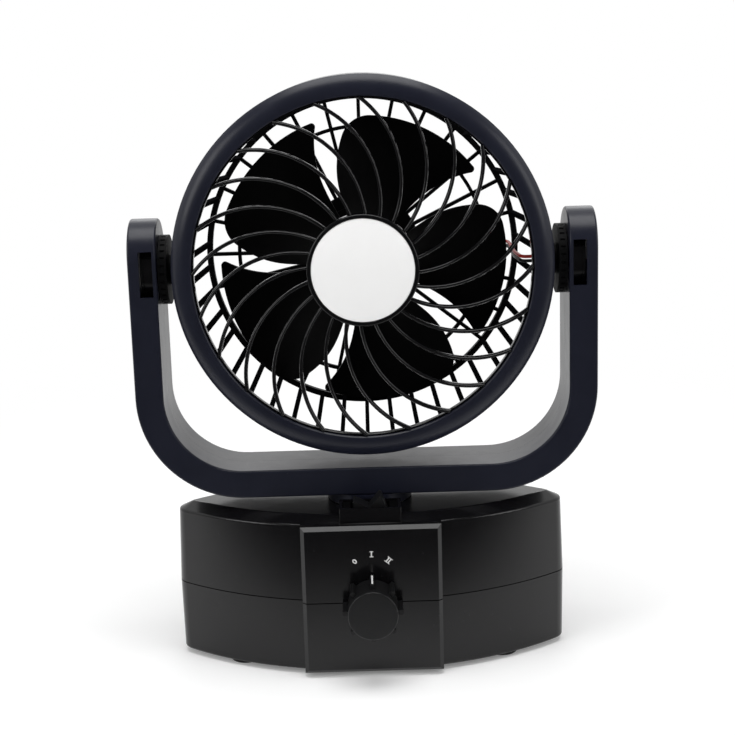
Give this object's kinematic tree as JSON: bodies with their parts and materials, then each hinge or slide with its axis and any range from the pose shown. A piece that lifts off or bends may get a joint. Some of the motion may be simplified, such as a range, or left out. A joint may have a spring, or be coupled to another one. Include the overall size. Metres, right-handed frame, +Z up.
{
  "type": "portable camping fan",
  "caption": "Battery camping fan: a guarded round head tilts in a U-shaped yoke that swivels on a lens-shaped base with a speed knob, a rocker switch and a power inlet.",
  "frame": {"origin": "on the floor, at the centre of the whole fan's box, under the swivel axis", "axes": "+Z up, +X to the fan's left as it faces away (the viewer's right), -Y is the front where the air comes out"},
  "size_m": [0.2454, 0.136, 0.3153],
  "materials": {
    "satin_navy": "satin moulded, blue-black",
    "gloss_black": "gloss moulded",
    "matte_black": "matte moulded",
    "gloss_white": "gloss moulded",
    "natural_nylon": "plain moulded",
    "foot_rubber": "matte",
    "screw_steel": "plated",
    "contact_metal": "nickel plated",
    "cell_jacket": "printed sleeve, plain",
    "lead_red": "satin insulation",
    "lead_black": "satin insulation"
  },
  "bodies": {
    "base": {"base_upper_shell": "gloss_black", "base_lower_shell": "gloss_black", "rubber_feet": "foot_rubber", "base_screws": "screw_steel", "slip_ring": "natural_nylon", "battery_cells": "cell_jacket", "battery_contacts": "contact_metal", "rotary_switch_body": "matte_black", "rocker_switch_body": "matte_black", "dc_jack": "matte_black", "dc_jack_nut": "screw_steel", "base_lead_red": "lead_red", "base_lead_black": "lead_black"},
    "yoke": {"yoke_front_shell": "satin_navy", "yoke_rear_shell": "satin_navy", "yoke_screws": "screw_steel", "swivel_post": "satin_navy", "swivel_retainer": "natural_nylon", "retainer_screws": "screw_steel", "yoke_lead_red": "lead_red", "yoke_lead_black": "lead_black"},
    "head": {"front_ring": "satin_navy", "front_grille": "gloss_black", "hub_cap": "gloss_white", "guard_rim": "gloss_black", "guard_side_ribs": "gloss_black", "rear_grille": "gloss_black", "guard_screws": "screw_steel", "motor_mount": "matte_black", "mount_screws": "screw_steel", "motor_can": "screw_steel", "motor_end_cap": "matte_black", "motor_cover": "gloss_black", "trunnion_right": "satin_navy", "trunnion_left": "satin_navy", "pivot_nuts": "matte_black", "tilt_drum_right": "satin_navy", "tilt_drum_left": "satin_navy", "motor_lead_red": "lead_red", "motor_lead_black": "lead_black"},
    "impeller": {"impeller": "matte_black", "motor_shaft": "screw_steel", "motor_rotor": "screw_steel"},
    "knob": {"speed_knob": "matte_black", "knob_pointer": "gloss_white", "rotary_switch_shaft": "screw_steel"},
    "rocker": {"rocker_paddle": "matte_black"},
    "door_left": {"battery_door_left": "gloss_black", "door_contacts_left": "contact_metal"},
    "door_right": {"battery_door_right": "gloss_black", "door_contacts_right": "contact_metal"}
  },
  "joints": [
    {"name": "swivel", "type": "hinge", "parent": "base", "child": "yoke", "pos_m": [0, 0, 0.08], "axis": [0, 0, 1], "range_deg": [-20, 20]},
    {"name": "tilt", "type": "hinge", "parent": "yoke", "child": "head", "pos_m": [0, 0, 0.2153], "axis": [1, 0, 0], "range_deg": [-90, 30]},
    {"name": "spin", "type": "hinge", "parent": "head", "child": "impeller", "pos_m": [0, 0.01, 0.2153], "axis": [0, 1, 0], "continuous": true},
    {"name": "speed_turn", "type": "hinge", "parent": "base", "child": "knob", "pos_m": [0, -0.06, 0.042], "axis": [0, 1, 0], "range_deg": [-22.5, 22.5]},
    {"name": "rocker_flip", "type": "hinge", "parent": "base", "child": "rocker", "pos_m": [0, -0.0332, 0.0891], "axis": [0, 1, 0], "range_deg": [0, 24]},
    {"name": "door_left_pull", "type": "slide", "parent": "base", "child": "door_left", "axis": [0, 0, -1], "range_m": [0, 0.03]},
    {"name": "door_right_pull", "type": "slide", "parent": "base", "child": "door_right", "axis": [0, 0, -1], "range_m": [0, 0.03]}
  ]
}
